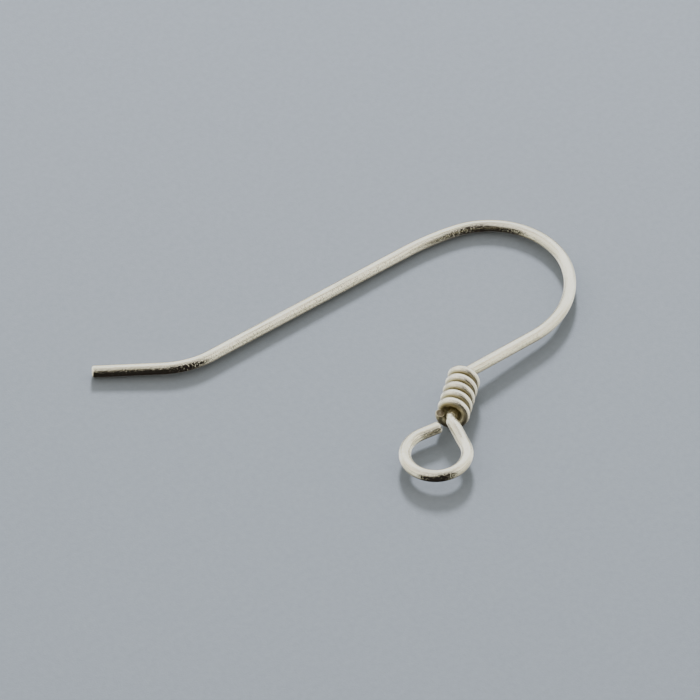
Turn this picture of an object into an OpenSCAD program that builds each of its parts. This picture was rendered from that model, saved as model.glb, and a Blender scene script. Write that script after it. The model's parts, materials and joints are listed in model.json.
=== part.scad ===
// Ear wire: a long hook bent from one round wire, with a short coil of finer wire wound round its
// shank and an open loop below the coil for the drop. It lies as it does on a table, on three
// points: the end of its tip, its top bend and its coil. Lengths are in millimetres and angles in
// degrees. The leg runs along X with the tip at the low end, and Z is up from the table.

/* [Hook wire] */
// Diameter of the wire that the hook is bent from
wire_d = 0.7; // [0.5:0.05:0.9]
// Chamfer round both cut ends of the wire
end_chamfer = 0.05; // [0.02:0.01:0.15]

/* [Tip and leg] */
// Straight run between the tip's cut end and the bend behind it
tip_len = 4.1; // [2:0.05:8]
// Centre-line radius of the bend behind the tip
tip_bend_r = 4.8; // [2:0.1:10]
// How far the tip is turned out of line with the leg
tip_bend_angle = 34.5; // [5:0.5:45]
// Straight run of the leg
leg_len = 14; // [8:0.1:25]

/* [Top bend] */
// Centre-line radius where the leg begins to curve
lead_r = 15.5; // [6:0.5:20]
// Angle turned at that wide radius
lead_angle = 12.5; // [5:0.5:20]
// Centre-line radius of the middle of the top bend, its tightest stretch
bend_r = 4.65; // [3.5:0.05:7]
// Angle turned in the middle of the top bend
bend_angle = 102; // [80:1:110]
// Centre-line radius of the last stretch of the top bend
close_r = 5.6; // [4:0.1:8]
// Angle turned in that last stretch
close_angle = 63; // [45:1:70]

/* [Shank] */
// Straight run between the top bend and the coil
shank_len = 4.8; // [3:0.1:9]
// Angle at which the shank climbs out of the leg's plane towards the coil
shank_lift = 2.5; // [1.5:0.5:4]
// Angle by which it is levelled again at the head of the coil
shank_dip = 3.5; // [1.5:0.5:5]
// Centre-line radius of the sharp bend at the head of the coil
shank_bend_r = 0.7; // [0.6:0.05:1.5]
// Angle of that bend
shank_bend_angle = 37.5; // [15:0.5:50]

/* [Coil] */
// Diameter of the finer wire that the coil is wound from
coil_wire_d = 0.52; // [0.3:0.01:0.7]
// Open gap between one turn of the coil and the next
coil_gap = 0.13; // [0.08:0.01:0.3]
// Radial clearance between the coil and the hook's wire
coil_clearance = 0.1; // [0.03:0.01:0.15]
// Number of turns in the coil
coil_turns = 5.3; // [3.3:1:8.3]
// Where the first turn starts, in turns round the wire from the side that the shank bends to
coil_start_turn = 0.25; // [0.1:0.05:0.4]

/* [Neck and loop] */
// Centre-line radius of the bend where the wire leaves the coil
neck_bend_r = 0.6; // [0.6:0.05:1.5]
// Angle of that bend
neck_bend_angle = 37; // [20:0.5:50]
// Straight run between the cranks of the neck
neck_len = 0.7; // [0.5:0.05:3]
// Angle at which the neck drops from the coil to the loop
neck_dip = 14; // [5:1:20]
// Inside diameter of the loop
loop_d = 2.85; // [2:0.05:4]
// Angle that the loop turns before its straight free end
loop_angle = 265; // [255:0.5:275]
// Gap between the loop's free end and the neck
loop_gap = 0.3; // [0.1:0.05:0.6]

/* [Hidden] */
$fn = 64;

wire_r = wire_d / 2;
coil_wire_r = coil_wire_d / 2;
loop_r = loop_d / 2 + wire_r;
// Centre-line radius of the slight cranks that lift and drop the wire
crank_r = 2;
// How far every second stretch of wire laps into its neighbours, and its share of the full radius
lap = 0.02;
lap_share = 0.99;

// The coil about its own straight run of the hook's wire, measured along the run from the sharp bend
coil_pitch = coil_wire_d + coil_gap;
coil_bore_r = wire_r + coil_clearance;
coil_line_r = coil_bore_r + coil_wire_r;
coil_outer_r = coil_bore_r + coil_wire_d;
// The winding clears the bend by the time it first comes round to the shank's side
coil_start = coil_wire_r + coil_clearance - (1 - coil_start_turn) * coil_pitch;
// The neck bends away as soon as the winding has passed its side for the last time
turns_to_last_pass = floor(coil_start_turn + coil_turns) - coil_start_turn;
coil_run = coil_start + turns_to_last_pass * coil_pitch + coil_wire_r + coil_clearance;

// The loop's free end runs back towards the neck and stops at the named gap
loop_end_len = (loop_r * (1 - cos(loop_angle)) - wire_r - loop_gap - wire_r * abs(cos(loop_angle)))
    / -sin(loop_angle);

// One row for each stretch of the hook's wire, from the cut end of the tip to that of the loop:
// length if straight, radius if bent, turn to the left seen from above, rise out of the plane
stretches = [
    [tip_len, 0, 0, 0],
    [0, tip_bend_r, tip_bend_angle, 0],
    [leg_len, 0, 0, 0],
    [0, lead_r, -lead_angle, 0],
    [0, bend_r, -bend_angle, 0],
    [0, close_r, -close_angle, 0],
    [0, crank_r, 0, shank_lift],
    [shank_len, 0, 0, 0],
    [0, crank_r, 0, -shank_dip],
    [0, shank_bend_r, shank_bend_angle, 0],
    [coil_run, 0, 0, 0],
    [0, neck_bend_r, neck_bend_angle, 0],
    [0, crank_r, 0, -neck_dip],
    [neck_len, 0, 0, 0],
    [0, crank_r, 0, neck_dip],
    [0, loop_r, -loop_angle, 0],
    [loop_end_len, 0, 0, 0]
];
last_stretch = len(stretches) - 1;
// Numbers of the rows above that the coil is wound on and that the top bend is made of
coil_row = 10;
top_bend_rows = [3:5];

function length_of(row) = row[0];
function radius_of(row) = row[1];
function angle_of(row) = norm([row[2], row[3]]);
// A bend is drawn to the left, then rolled about the wire to the side that it really turns to
function roll_of(row) = atan2(row[3], row[2]);

// Places in space, as 4 by 4 matrices: the first column is the direction of the wire
function moved(x, y, z) = [[1, 0, 0, x], [0, 1, 0, y], [0, 0, 1, z], [0, 0, 0, 1]];
function turned(a) = [[cos(a), -sin(a), 0, 0], [sin(a), cos(a), 0, 0], [0, 0, 1, 0], [0, 0, 0, 1]];
function rolled(a) = [[1, 0, 0, 0], [0, cos(a), -sin(a), 0], [0, sin(a), cos(a), 0], [0, 0, 0, 1]];
function bent(r, a) = moved(r * sin(a), r * (1 - cos(a)), 0) * turned(a);
function past(row) = moved(length_of(row), 0, 0)
    * rolled(roll_of(row)) * bent(radius_of(row), angle_of(row)) * rolled(-roll_of(row));
function places_from(i, place) =
    i > last_stretch ? [place] : concat([place], places_from(i + 1, place * past(stretches[i])));
// Where each stretch starts, with the leg along X and still in its own plane
flat_places = places_from(0, turned(-tip_bend_angle));

// Points along a stretch, close enough together to find how far the wire reaches
samples = 24;
function along(i) = [for (k = [0:samples]) flat_places[i] * past(stretches[i] * k / samples
    + [0, radius_of(stretches[i]) * (1 - k / samples), 0, 0])];

// The wire touches the table at the end of its tip and where a line from there grazes the top bend
tip_end = flat_places[0];
contact_heading = max([for (i = top_bend_rows, m = along(i))
    atan2(m[1][3] - tip_end[1][3], m[0][3] - tip_end[0][3])]);
// Distance of a place from that line, towards the coil
function off_line(m) =
    (m[0][3] - tip_end[0][3]) * sin(contact_heading) - (m[1][3] - tip_end[1][3]) * cos(contact_heading);
// The hook tips over until the lowest turn of its coil rests on the table too
function tilt_to_rest(m) =
    asin((coil_outer_r - wire_r) / norm([off_line(m), m[2][3]])) - atan2(m[2][3], off_line(m));
rest_tilt = max([for (turn = [0:floor(coil_turns)])
    tilt_to_rest(flat_places[coil_row] * moved(coil_start + turn * coil_pitch, 0, 0))]);
tip_over = turned(contact_heading) * rolled(-rest_tilt) * turned(-contact_heading);

// How far the round wire reaches along an axis, up or down it, so that its box stands on the origin
wire_samples = [for (i = [0:last_stretch], m = along(i)) tip_over * m];
function reach(axis, way) =
    way * max([for (m = wire_samples) way * m[axis][3] + wire_r * sqrt(max(0, 1 - pow(m[axis][0], 2)))]);
to_origin = moved(-(reach(0, 1) + reach(0, -1)) / 2, -(reach(1, 1) + reach(1, -1)) / 2, -reach(2, -1));
resting = to_origin * tip_over;

module straight(length, r, overlap, first, last) {
    profile = [
        [0, -overlap],
        if (first) [r - end_chamfer, 0],
        [r, first ? end_chamfer : -overlap],
        [r, last ? length - end_chamfer : length + overlap],
        if (last) [r - end_chamfer, length],
        [0, length + overlap]
    ];
    rotate([0, 90, 0]) rotate_extrude() polygon(profile);
}

module bend(radius, angle, r, overlap) {
    over_angle = overlap / radius * 180 / PI;
    translate([0, radius, 0]) rotate([0, 0, -90 - over_angle])
        rotate_extrude(angle = angle + 2 * over_angle) translate([radius, 0]) circle(r = r);
}

// Every second stretch is a hair thinner and laps into both neighbours, so that all fuse into one wire
module stretch(i) {
    lapped = i % 2 == 1;
    r = lapped ? lap_share * wire_r : wire_r;
    overlap = lapped ? lap : 0;
    row = stretches[i];
    if (length_of(row) > 0)
        straight(length_of(row), r, overlap, i == 0, i == last_stretch);
    else
        rotate([roll_of(row), 0, 0]) bend(radius_of(row), angle_of(row), r, overlap);
}

module ear_hook() {
    color("silver")
        for (i = [0:last_stretch]) multmatrix(resting * flat_places[i]) stretch(i);
}

// The coil is one helix about X: left-handed, from under the wire at its head to a cut end at its mouth
coil_sides = 12;
coil_steps = 24;
coil_rings = ceil(coil_turns * coil_steps);

function coil_ring(turns) = let (
        way_round = -360 * (coil_start_turn + turns),
        outward = [0, cos(way_round), sin(way_round)],
        onward = [0, sin(way_round), -cos(way_round)] * 2 * PI * coil_line_r + [coil_pitch, 0, 0],
        across = cross(onward / norm(onward), outward),
        centre = outward * coil_line_r + [coil_start + coil_pitch * turns, 0, 0]
    ) [for (k = [0:coil_sides - 1])
        centre + coil_wire_r * (cos(360 * k / coil_sides) * outward + sin(360 * k / coil_sides) * across)];

module wire_coil() {
    points = [for (i = [0:coil_rings]) each coil_ring(coil_turns * i / coil_rings)];
    sides = [for (i = [0:coil_rings - 1], k = [0:coil_sides - 1])
        let (here = i * coil_sides, next = (k + 1) % coil_sides)
        [here + k, here + coil_sides + k, here + coil_sides + next, here + next]];
    back = [for (k = [0:coil_sides - 1]) k];
    front = [for (k = [coil_sides - 1:-1:0]) coil_rings * coil_sides + k];
    color("gainsboro") multmatrix(resting * flat_places[coil_row])
        polyhedron(points, concat([back, front], sides));
}

ear_hook();
wire_coil();
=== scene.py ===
import json
import math

import bpy
from mathutils import Matrix, Vector


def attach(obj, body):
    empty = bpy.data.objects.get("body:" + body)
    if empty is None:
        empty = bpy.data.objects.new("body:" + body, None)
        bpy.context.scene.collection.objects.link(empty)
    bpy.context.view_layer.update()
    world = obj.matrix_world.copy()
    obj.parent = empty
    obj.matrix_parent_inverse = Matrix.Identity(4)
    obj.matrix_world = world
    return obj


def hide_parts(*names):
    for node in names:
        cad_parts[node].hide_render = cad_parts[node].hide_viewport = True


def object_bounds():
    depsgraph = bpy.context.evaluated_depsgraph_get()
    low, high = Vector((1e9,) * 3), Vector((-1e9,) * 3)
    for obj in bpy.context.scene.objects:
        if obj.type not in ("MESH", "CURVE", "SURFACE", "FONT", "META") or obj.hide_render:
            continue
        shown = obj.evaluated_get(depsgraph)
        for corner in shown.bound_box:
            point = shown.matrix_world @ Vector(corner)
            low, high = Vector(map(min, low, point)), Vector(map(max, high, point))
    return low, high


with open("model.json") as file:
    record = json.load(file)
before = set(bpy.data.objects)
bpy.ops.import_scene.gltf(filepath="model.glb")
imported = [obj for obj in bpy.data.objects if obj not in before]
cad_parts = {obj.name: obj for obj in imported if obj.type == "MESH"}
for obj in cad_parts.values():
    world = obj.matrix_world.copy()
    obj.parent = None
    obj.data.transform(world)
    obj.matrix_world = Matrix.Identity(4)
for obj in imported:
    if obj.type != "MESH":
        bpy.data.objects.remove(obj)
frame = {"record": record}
cad_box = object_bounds()


# The hook is one length of round silver wire, drawn through a die and cut flush at both ends.
# It is bent over pins and plier jaws, one bend after another from the tip to the loop, and then
# tumbled bright, which leaves the lines of the die along it and a fine grain where it was bent.
mm = 0.001
wire_r = 0.35 * mm
cut_edge_r = 0.12 * mm
cut_dome = 0.015 * mm
# The share by which a bend of the wire's own radius would thin it, in the plane of the bend
bend_flattening = 0.06
ring_spacing = 0.12 * mm
hook_sides = 48


def run(length):
    """A straight stretch of wire, in millimetres."""
    return {"length": length * mm, "radius": 0.0, "left": 0.0, "up": 0.0}


def bend(radius, left=0.0, up=0.0):
    """A bend of that centre-line radius, through an angle to the left seen from above, or upwards."""
    return {"length": 0.0, "radius": radius * mm, "left": left, "up": up}


tip_bend_angle = 34.5
hook_steps = [
    run(4.1),                           # the tip that goes through the ear
    bend(4.8, left=tip_bend_angle),     # its bend into the leg
    run(14),                            # the leg
    bend(15.5, left=-12.5),             # the leg starts to curve
    bend(4.65, left=-102),              # the top bend
    bend(5.6, left=-63),                # which opens a little as it turns back
    bend(2, up=2.5),                    # the shank climbs
    run(4.8),
    bend(2, up=-3.5),                   # and is levelled for the coil
    bend(0.7, left=37.5),               # a sharp bend holds the coil's head
    run(3.32),                          # straight through the coil
    bend(0.6, left=37),                 # a sharp bend out of its mouth
    bend(2, up=-14),                    # the neck drops
    run(0.7),
    bend(2, up=14),
    bend(1.775, left=-265),             # the loop, round a pin of 2.85 mm
    run(1.254),                         # and its free end
]
# The step above that the coil is wound on, counted from 0
coil_step = 10


def along_step(step, share):
    """From the start of a step to a place on it. X runs along the wire and Z is its upper side."""
    radius = step["radius"]
    angle = math.radians(math.hypot(step["left"], step["up"])) * share
    roll = Matrix.Rotation(math.atan2(step["up"], step["left"]), 4, "X")
    ahead = Matrix.Translation((step["length"] * share, 0, 0))
    curve = Matrix.Translation((radius * math.sin(angle), radius * (1 - math.cos(angle)), 0))
    return ahead @ roll @ curve @ Matrix.Rotation(angle, 4, "Z") @ roll.inverted()


def step_start(start, steps, number):
    """The place where one step begins."""
    place = start
    for step in steps[:number]:
        place = place @ along_step(step, 1)
    return place


def wire_place(at, gone, bent=0.0, side=0.0, inside=0.0, wound=0.0):
    """A place on a wire. Gone is its distance from the first cut. Bent and side are how sharply
    and to which side the wire bends there. Inside is how much painted shade it gets all round, and
    wound how much painted shade its grooves get, from 0 to 1."""
    return {"at": at, "gone": gone, "bent": bent, "side": side, "inside": inside, "wound": wound}


def bent_wire(start, steps, spacing):
    """Places along the bent wire, no further apart than the spacing or a few degrees of a bend."""
    angle_between = math.radians(4)
    places = []
    place, gone = start, 0.0
    for number, step in enumerate(steps):
        angle = math.radians(math.hypot(step["left"], step["up"]))
        length = step["length"] + step["radius"] * angle
        count = max(2, math.ceil(length / spacing), math.ceil(angle / angle_between))
        sharpness = wire_r / step["radius"] if angle else 0.0
        side = math.atan2(step["up"], step["left"])
        # The stretch of wire inside the coil gets painted shade all round
        in_coil = 1.0 if number == coil_step else 0.0
        for k in range(count):
            here = place @ along_step(step, k / count)
            places.append(wire_place(here, gone + length * k / count, sharpness, side, in_coil))
        place = place @ along_step(step, 1)
        gone += length
    places.append(wire_place(place, gone))
    return places


def eased(values, reach):
    """The same values, each averaged with its neighbours."""
    last = len(values) - 1
    return [
        sum(values[min(max(i + k, 0), last)] for k in range(-reach, reach + 1)) / (2 * reach + 1)
        for i in range(len(values))
    ]


def groove_depth(turn):
    """From 0 on the outside of a coil's turn to 1 down its flanks and inside it."""
    # The groove starts where the cosine of the angle from the outside has come down to the crown
    crown = 0.88
    fall = 0.6
    share = min(max((crown - math.cos(turn)) / fall, 0.0), 1.0)
    return share * share * (3 - 2 * share)


def ring_spots(place, shift, radius, sides, flatten, sharpness, inside):
    """One ring round the wire. In a sharp bend the wire is a little flat in its bend's plane."""
    spots = []
    for k in range(sides):
        turn = 2 * math.pi * k / sides
        in_plane = math.cos(turn - place["side"]) * (1 - flatten * sharpness)
        off_plane = math.sin(turn - place["side"])
        left = in_plane * math.cos(place["side"]) - off_plane * math.sin(place["side"])
        up = in_plane * math.sin(place["side"]) + off_plane * math.cos(place["side"])
        along = place["gone"] + shift
        spots.append({
            "point": place["at"] @ Vector((shift, left * radius, up * radius)),
            "straightened": Vector((along, math.cos(turn) * radius, math.sin(turn) * radius)),
            "around": place["at"].to_3x3() @ Vector((0, -math.sin(turn), math.cos(turn))),
            # The share of painted shade at this spot: the larger of the place's shade all round and the
            # shade down a coil's grooves
            "shade_share": max(inside, place["wound"] * groove_depth(turn)),
        })
    return spots


def put_in_scene(name, data):
    """A new object in the scene."""
    thing = bpy.data.objects.new(name, data)
    bpy.context.scene.collection.objects.link(thing)
    return thing


def wire_piece(name, places, radius, sides, edge_r, dome, flatten, wall_silver, cut_silver):
    """Sweeps a round wire along its places, with a rounded edge and a slightly domed face at each cut."""
    first, last = places[0], places[-1]
    sharpness = eased([p["bent"] for p in places], 3)
    inside = eased([p["inside"] for p in places], 2)

    # How far back from the cut each ring of its face and edge lies, and the ring's radius
    face_shares = (0.35, 0.7, 1.0)
    edge_steps = 4
    cut_rings = [(dome * share * share, share * (radius - edge_r)) for share in face_shares]
    for step in range(1, edge_steps + 1):
        a = math.radians(90) * step / edge_steps
        cut_rings.append((dome + edge_r * (1 - math.cos(a)), radius - edge_r + edge_r * math.sin(a)))
    clear_of_cut = dome + edge_r * 1.2

    rings = []
    for back, ring_r in cut_rings:
        rings.append(ring_spots(first, back, ring_r, sides, flatten, 0.0, inside[0]))
    for place, sharp, hidden in zip(places, sharpness, inside):
        if clear_of_cut < place["gone"] < last["gone"] - clear_of_cut:
            rings.append(ring_spots(place, 0.0, radius, sides, flatten, sharp, hidden))
    for back, ring_r in reversed(cut_rings):
        rings.append(ring_spots(last, -back, ring_r, sides, flatten, 0.0, inside[-1]))

    # The cut's own silver is on its face, out to where the rounded edge begins
    spots = [spot for ring in rings for spot in ring]
    last_ring = len(rings) - 1
    face_bands = len(face_shares) - 1
    faces, on_cut = [], []
    for i in range(last_ring):
        for k in range(sides):
            n = (k + 1) % sides
            faces.append(((i + 1) * sides + k, (i + 1) * sides + n, i * sides + n, i * sides + k))
            on_cut.append(int(i < face_bands or i >= last_ring - face_bands))
    for place, ring, flip in ((first, 0, False), (last, last_ring, True)):
        spots.append({
            "point": place["at"].to_translation(),
            "straightened": Vector((place["gone"], 0, 0)),
            "around": place["at"].to_3x3() @ Vector((0, 1, 0)),
            "shade_share": 0.0,
        })
        for k in range(sides):
            corner = [ring * sides + k, ring * sides + (k + 1) % sides, len(spots) - 1]
            faces.append(tuple(reversed(corner)) if flip else tuple(corner))
            on_cut.append(1)

    mesh = bpy.data.meshes.new(name)
    mesh.from_pydata([s["point"] for s in spots], [], faces)
    for label in ("straightened", "around"):
        layer = mesh.attributes.new(label, "FLOAT_VECTOR", "POINT")
        layer.data.foreach_set("vector", [c for s in spots for c in s[label]])
    layer = mesh.attributes.new("shade_share", "FLOAT", "POINT")
    layer.data.foreach_set("value", [s["shade_share"] for s in spots])
    mesh.materials.append(wall_silver)
    mesh.materials.append(cut_silver)
    mesh.polygons.foreach_set("material_index", on_cut)
    mesh.polygons.foreach_set("use_smooth", [True] * len(faces))
    mesh.update()
    return put_in_scene(name, mesh)


def new_finish(name):
    """A new material, with its nodes and its shader."""
    material = bpy.data.materials.new(name)
    material.use_nodes = True
    return material, material.node_tree, material.node_tree.nodes["Principled BSDF"]


def feed(tree, value, socket):
    """Gives a socket a number, a colour, or what another node makes."""
    if isinstance(value, bpy.types.NodeSocket):
        tree.links.new(value, socket)
    elif isinstance(value, tuple):
        socket.default_value = (*value, 1)
    else:
        socket.default_value = value


def worked(tree, kind, first, second):
    """Two values, worked into one."""
    node = tree.nodes.new("ShaderNodeMath")
    node.operation = kind
    feed(tree, first, node.inputs[0])
    feed(tree, second, node.inputs[1])
    return node.outputs["Value"]


def ranged(tree, value, start, end, low=0.0, high=1.0, kind="LINEAR"):
    """From low to high as the value goes from start to end."""
    node = tree.nodes.new("ShaderNodeMapRange")
    node.interpolation_type = kind
    for socket, number in (("From Min", start), ("From Max", end), ("To Min", low), ("To Max", high)):
        node.inputs[socket].default_value = number
    tree.links.new(value, node.inputs["Value"])
    return node.outputs["Result"]


def mixed(tree, first, second, factor, kind="MIX"):
    """From the first colour to the second, or to their product, as the factor goes from 0 to 1."""
    node = tree.nodes.new("ShaderNodeMix")
    node.data_type = "RGBA"
    node.blend_type = kind
    feed(tree, first, node.inputs["A"])
    feed(tree, second, node.inputs["B"])
    feed(tree, factor, node.inputs["Factor"])
    return node.outputs["Result"]


def noise(tree, where, scale, detail):
    """Noise about a half, most of it between 0.3 and 0.7."""
    node = tree.nodes.new("ShaderNodeTexNoise")
    node.inputs["Scale"].default_value = scale
    node.inputs["Detail"].default_value = detail
    tree.links.new(where, node.inputs["Vector"])
    return node.outputs["Fac"]


def relief(tree, height, depth, under=None):
    """The surface's normal with a relief of that depth, laid over the relief under it."""
    node = tree.nodes.new("ShaderNodeBump")
    node.inputs["Strength"].default_value = 1.0
    node.inputs["Distance"].default_value = depth
    tree.links.new(height, node.inputs["Height"])
    if under:
        tree.links.new(under, node.inputs["Normal"])
    return node.outputs["Normal"]


def drawn_silver(name, tone, roughness):
    """Bright drawn silver wire: lines along it from the die, a fine grain, small dents, and a painted
    shade of dull brown, which is rougher too, where the mesh notes its share of shade."""
    material, tree, silver = new_finish(name)
    silver.inputs["Metallic"].default_value = 1.0
    silver.inputs["Anisotropic"].default_value = 0.7

    def noted(label, output):
        """What the mesh notes under that label."""
        node = tree.nodes.new("ShaderNodeAttribute")
        node.attribute_name = label
        return node.outputs[output]

    straightened = noted("straightened", "Vector")
    tree.links.new(noted("around", "Vector"), silver.inputs["Tangent"])

    def grain(along, across, detail):
        """Noise whose features are that long and that wide, in millimetres."""
        scale = tree.nodes.new("ShaderNodeMapping")
        scale.inputs["Scale"].default_value = (1 / (along * mm), 1 / (across * mm), 1 / (across * mm))
        tree.links.new(straightened, scale.inputs["Vector"])
        return noise(tree, scale.outputs["Vector"], 1.0, detail)

    die_lines = grain(along=5.0, across=0.12, detail=3)
    fine_grain = grain(along=0.09, across=0.06, detail=2)
    dents = ranged(tree, grain(along=0.08, across=0.1, detail=1), 0.54, 0.74)
    clouds = ranged(tree, grain(along=1.6, across=0.5, detail=2), 0.3, 0.7)
    dark_lines = ranged(tree, grain(along=3.0, across=0.075, detail=2), 0.46, 0.70)
    patches = ranged(tree, grain(along=0.5, across=0.25, detail=3), 0.3, 0.7, low=0.75, high=1.0)
    # Painted shade, in patches, where the mesh notes its share of shade
    painted_shade = worked(tree, "MULTIPLY", noted("shade_share", "Fac"), patches)

    polish = ranged(tree, die_lines, 0.3, 0.7, low=roughness - 0.04, high=roughness + 0.06)
    shade_roughness = 0.3
    dulled = worked(tree, "ADD", polish, worked(tree, "MULTIPLY", painted_shade, shade_roughness))
    tree.links.new(dulled, silver.inputs["Roughness"])

    clouded = mixed(tree, tone, (0.97, 0.96, 0.93), clouds, "MULTIPLY")
    lined = mixed(tree, clouded, (0.75, 0.74, 0.68), dark_lines, "MULTIPLY")
    # The painted shade is a dull olive brown
    shade_painted = mixed(tree, lined, (0.52, 0.47, 0.31), painted_shade, "MULTIPLY")
    tree.links.new(shade_painted, silver.inputs["Base Color"])

    lines_relief = relief(tree, die_lines, 0.013 * mm)
    grain_relief = relief(tree, fine_grain, 0.006 * mm, lines_relief)
    tree.links.new(relief(tree, dents, 0.01 * mm, grain_relief), silver.inputs["Normal"])
    return material


# The tip's cut lies half the pin's length and the chamfer out from the middle of its mount. The wire
# leans about the line from its tip to its top bend until it rests on its coil. Angles in degrees.
end_chamfer = 0.05 * mm
lean = 2.153
contact_heading = -8.477
tip_pin = next(m for m in frame["record"]["mounts"] if m["name"] == "tip_pin")
outward = Vector(tip_pin["axis"])
tip_end = Vector(tip_pin["pos_m"]) + outward * (tip_pin["dims"]["length_mm"] * mm / 2 + end_chamfer)
lying = (
    Matrix.Rotation(math.radians(contact_heading), 4, "Z")
    @ Matrix.Rotation(math.radians(-lean), 4, "X")
    @ Matrix.Rotation(math.radians(-contact_heading - tip_bend_angle), 4, "Z")
)
hook_start = Matrix.Translation(tip_end) @ lying

hook_silver = drawn_silver("hook_silver", (0.95, 0.92, 0.81), 0.17)
hook_cut = drawn_silver("hook_cut_end", (0.93, 0.91, 0.86), 0.34)
hook_places = bent_wire(hook_start, hook_steps, ring_spacing)
hook = wire_piece(
    "hook_wire", hook_places, wire_r, hook_sides, cut_edge_r, cut_dome, bend_flattening,
    hook_silver, hook_cut,
)
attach(hook, "root")
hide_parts("ear_hook")


# The coil is finer silver wire wound left-handed round the hook, about five turns, on a running
# fit. Its head sits in the sharp bend of the shank. Painted shade darkens the grooves between its
# turns, less along its last turn, and deepens over the last of its wire into a cut at the mouth
# that is painted dark as shade.
coil_wire_r = 0.26 * mm
coil_gap = 0.13 * mm
coil_clearance = 0.1 * mm
coil_turns = 5.3
coil_start_turn = 0.25
coil_pitch = 2 * coil_wire_r + coil_gap
coil_line_r = wire_r + coil_clearance + coil_wire_r
coil_start = coil_wire_r + coil_clearance - (1 - coil_start_turn) * coil_pitch
coil_edge_r = 0.03 * mm
coil_cut_dome = 0.01 * mm
coil_sides = 32
places_a_turn = 72
# The turns before the last cut whose grooves get lighter painted shade, how much of it they get,
# and how much more comes back in each turn before them
lighter_groove_turns = 0.65
lighter_groove_shade = 0.6
groove_shade_rise = 4
# The turns before the last cut over which painted shade deepens all round, and how deep it is at the cut
shaded_end_turns = 0.2
deepest_end_shade = 0.6


def wound_wire(start, turns, turn_steps):
    """Places along the coil's wire, with Y of each pointing away from the hook's wire."""
    places = []
    way_round = 2 * math.pi * coil_line_r
    turn_length = math.hypot(way_round, coil_pitch)
    count = math.ceil(turns * turn_steps)
    for i in range(count + 1):
        done = turns * i / count
        a = -2 * math.pi * (coil_start_turn + done)
        away = Vector((0, math.cos(a), math.sin(a)))
        onward = Vector((coil_pitch, way_round * math.sin(a), -way_round * math.cos(a))).normalized()
        axes = Matrix((onward, away, onward.cross(away))).transposed().to_4x4()
        centre = away * coil_line_r + Vector((coil_start + coil_pitch * done, 0, 0))
        to_go = turns - done
        # The last of the wire gets painted shade all round, deepening towards its cut, and grows rougher
        # with it
        dulled = deepest_end_shade * max(1 - to_go / shaded_end_turns, 0.0)
        # The painted shade in its grooves is lighter along the last turns
        grooved = min(lighter_groove_shade + groove_shade_rise * max(to_go - lighter_groove_turns, 0.0), 1.0)
        at = start @ Matrix.Translation(centre) @ axes
        places.append(wire_place(at, turn_length * done, inside=dulled, wound=grooved))
    return places


coil_silver = drawn_silver("coil_silver", (0.94, 0.91, 0.81), 0.24)
# The coil's cut face is painted dark brown as shade
coil_cut = drawn_silver("coil_cut_end", (0.36, 0.32, 0.27), 0.45)
coil_places = wound_wire(step_start(hook_start, hook_steps, coil_step), coil_turns, places_a_turn)
coil = wire_piece(
    "wound_coil", coil_places, coil_wire_r, coil_sides, coil_edge_r, coil_cut_dome, 0.0,
    coil_silver, coil_cut,
)
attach(coil, "root")
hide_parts("wire_coil")


# The table is a sheet of plain pale card, larger than the picture. Its fibres vary its tone and
# its roughness a little and give it a slight nap. It is kept out of the silver's reflections.
table_size = 1.2
half = table_size / 2
table_corners = [(-half, -half, 0), (half, -half, 0), (half, half, 0), (-half, half, 0)]
table_mesh = bpy.data.meshes.new("table")
table_mesh.from_pydata(table_corners, [], [(0, 1, 2, 3)])
table = put_in_scene("table", table_mesh)
table.location.z = cad_box[0].z
table.visible_glossy = False

card, card_tree, card_shader = new_finish("pale_card")
card_place = card_tree.nodes.new("ShaderNodeTexCoord").outputs["Object"]


def card_fibres(size, detail):
    """Noise on the card whose features are that many millimetres across."""
    return noise(card_tree, card_place, 1 / (size * mm), detail)


fibre_tone = ranged(card_tree, card_fibres(0.35, 4), 0.3, 0.7)
card_tone = mixed(card_tree, (0.183, 0.207, 0.246), (0.197, 0.223, 0.264), fibre_tone)
card_roughness = ranged(card_tree, card_fibres(1.5, 2), 0.3, 0.7, low=0.84, high=0.94)
card_nap = relief(card_tree, card_fibres(0.12, 3), 0.01 * mm)
card_tree.links.new(card_tone, card_shader.inputs["Base Color"])
card_tree.links.new(card_roughness, card_shader.inputs["Roughness"])
card_tree.links.new(card_nap, card_shader.inputs["Normal"])
table_mesh.materials.append(card)


# The light is a pale studio tent, with its upper walls brighter than its roof and its back wall
# brightest. Its foot falls away into shade, and it is open in front, where the dark room shows
# behind the camera. One soft lamp low behind the hook throws its shadow towards the camera.
camera_side = math.radians(-37)
tent = bpy.data.worlds.new("studio_tent")
bpy.context.scene.world = tent
tent.use_nodes = True
tent_tree = tent.node_tree
tent_direction = tent_tree.nodes.new("ShaderNodeTexCoord").outputs["Generated"]


def tent_part(towards):
    """How much of a direction goes that way, from -1 to 1."""
    dot = tent_tree.nodes.new("ShaderNodeVectorMath")
    dot.operation = "DOT_PRODUCT"
    dot.inputs[1].default_value = towards
    tent_tree.links.new(tent_direction, dot.inputs[0])
    return dot.outputs["Value"]


def tent_fade(value, start, end, low=0.0, high=1.0):
    """A soft step from low to high as the value goes from start to end."""
    return ranged(tent_tree, value, start, end, low, high, "SMOOTHSTEP")


height = tent_part((0, 0, 1))
ahead = tent_part((math.sin(camera_side), -math.cos(camera_side), 0))
right = tent_part((math.cos(camera_side), math.sin(camera_side), 0))
# The turn from the camera's side to the picture's right, in radians
turn_right = worked(tent_tree, "ARCTAN2", right, ahead)

lower_wall = (1.15, 1.15, 0.97)
upper_wall = (1.68, 1.6, 1.39)
roof = (1.05, 1.02, 0.9)
back_wall = (1.9, 1.95, 1.88)
tent_walls = mixed(tent_tree, lower_wall, upper_wall, tent_fade(height, 0.1, 0.5))
tent_roofed = mixed(tent_tree, tent_walls, roof, tent_fade(height, 0.68, 0.9))
tent_cloth = mixed(tent_tree, tent_roofed, back_wall, tent_fade(ahead, -0.25, -0.5))

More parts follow.
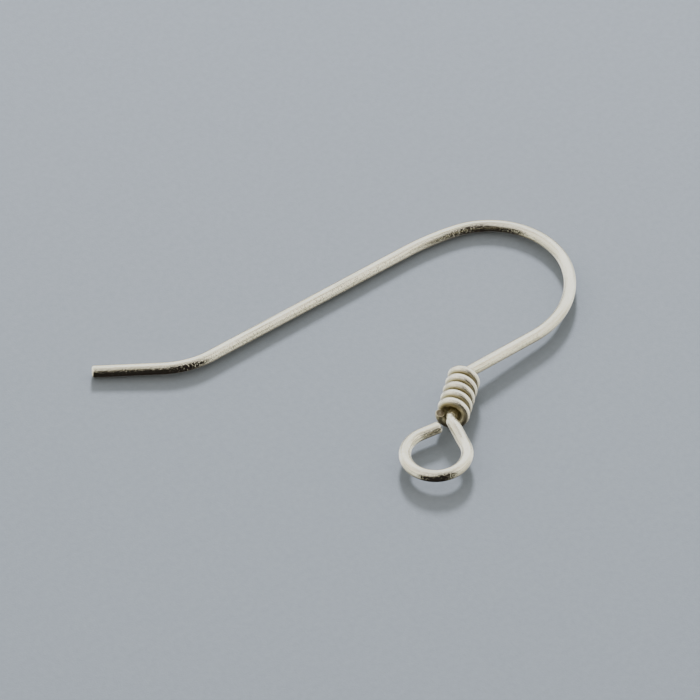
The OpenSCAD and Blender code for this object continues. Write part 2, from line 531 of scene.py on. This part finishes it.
# The shade lies along the foot all round, and comes higher at the back
shade = (0.24, 0.23, 0.22)
at_back = tent_fade(ahead, -0.6, -0.95)
back_foot = worked(tent_tree, "MULTIPLY", at_back, tent_fade(height, 0.3, -0.15, high=0.9))
tent_foot = worked(tent_tree, "MAXIMUM", tent_fade(height, -0.4, -1.0), back_foot)
tent_shaded = mixed(tent_tree, tent_cloth, shade, tent_foot)

# The opening's two sides are soft, and its lintel climbs to the right in two steps
dark_room = (0.016, 0.014, 0.013)
left_side = tent_fade(turn_right, -0.96, -0.78)
right_side = tent_fade(turn_right, 1.12, 0.90)
opening = worked(tent_tree, "MULTIPLY", left_side, right_side)
first_rise = tent_fade(turn_right, -0.35, 0.0, low=0.62, high=0.81)
second_rise = tent_fade(turn_right, 0.07, 0.2, high=0.21)
lintel = worked(tent_tree, "ADD", first_rise, second_rise)
under_lintel = tent_fade(worked(tent_tree, "SUBTRACT", height, lintel), 0.2, -0.2)
room = worked(tent_tree, "MULTIPLY", opening, under_lintel)
straight_below = tent_fade(height, -0.8, -0.97)
dark = worked(tent_tree, "MAXIMUM", room, straight_below)
surroundings = mixed(tent_tree, tent_shaded, dark_room, dark)
tent_tree.links.new(surroundings, tent_tree.nodes["Background"].inputs["Color"])

lamp_height_angle = math.radians(29.4)
lamp_heading = Vector((0.603, 0.798, 0))
lamp_distance = 0.35
lamp_way = lamp_heading * math.cos(lamp_height_angle) + Vector((0, 0, math.sin(lamp_height_angle)))
lamp_data = bpy.data.lights.new("soft_lamp", "AREA")
lamp_data.shape = "DISK"
lamp_data.size = 0.06
lamp_data.energy = 3.2
lamp = put_in_scene("soft_lamp", lamp_data)
lamp.visible_glossy = False
lamp.location = lamp_way * lamp_distance
lamp.rotation_euler = lamp_way.to_track_quat("Z", "Y").to_euler()


# The camera looks down at 46 degrees through a long lens, as the photograph was taken. It stands
# on the loop's side of the hook, from where the leg rises to the right across the picture.
camera_height_angle = math.radians(46)
camera_distance = 0.6
picture_width = 40.16 * mm
# In millimetres, as the lens is
film_width = 36
aim = Vector((-0.591, 2.32, 0)) * mm
camera_way = Vector((
    math.sin(camera_side) * math.cos(camera_height_angle),
    -math.cos(camera_side) * math.cos(camera_height_angle),
    math.sin(camera_height_angle),
))
camera_data = bpy.data.cameras.new("camera")
camera_data.sensor_width = film_width
camera_data.lens = film_width * camera_distance / picture_width
camera_data.clip_start = 0.01
camera_data.clip_end = 20
camera = put_in_scene("camera", camera_data)
camera.location = aim + camera_way * camera_distance
camera.rotation_euler = camera_way.to_track_quat("Z", "Y").to_euler()
bpy.context.scene.camera = camera
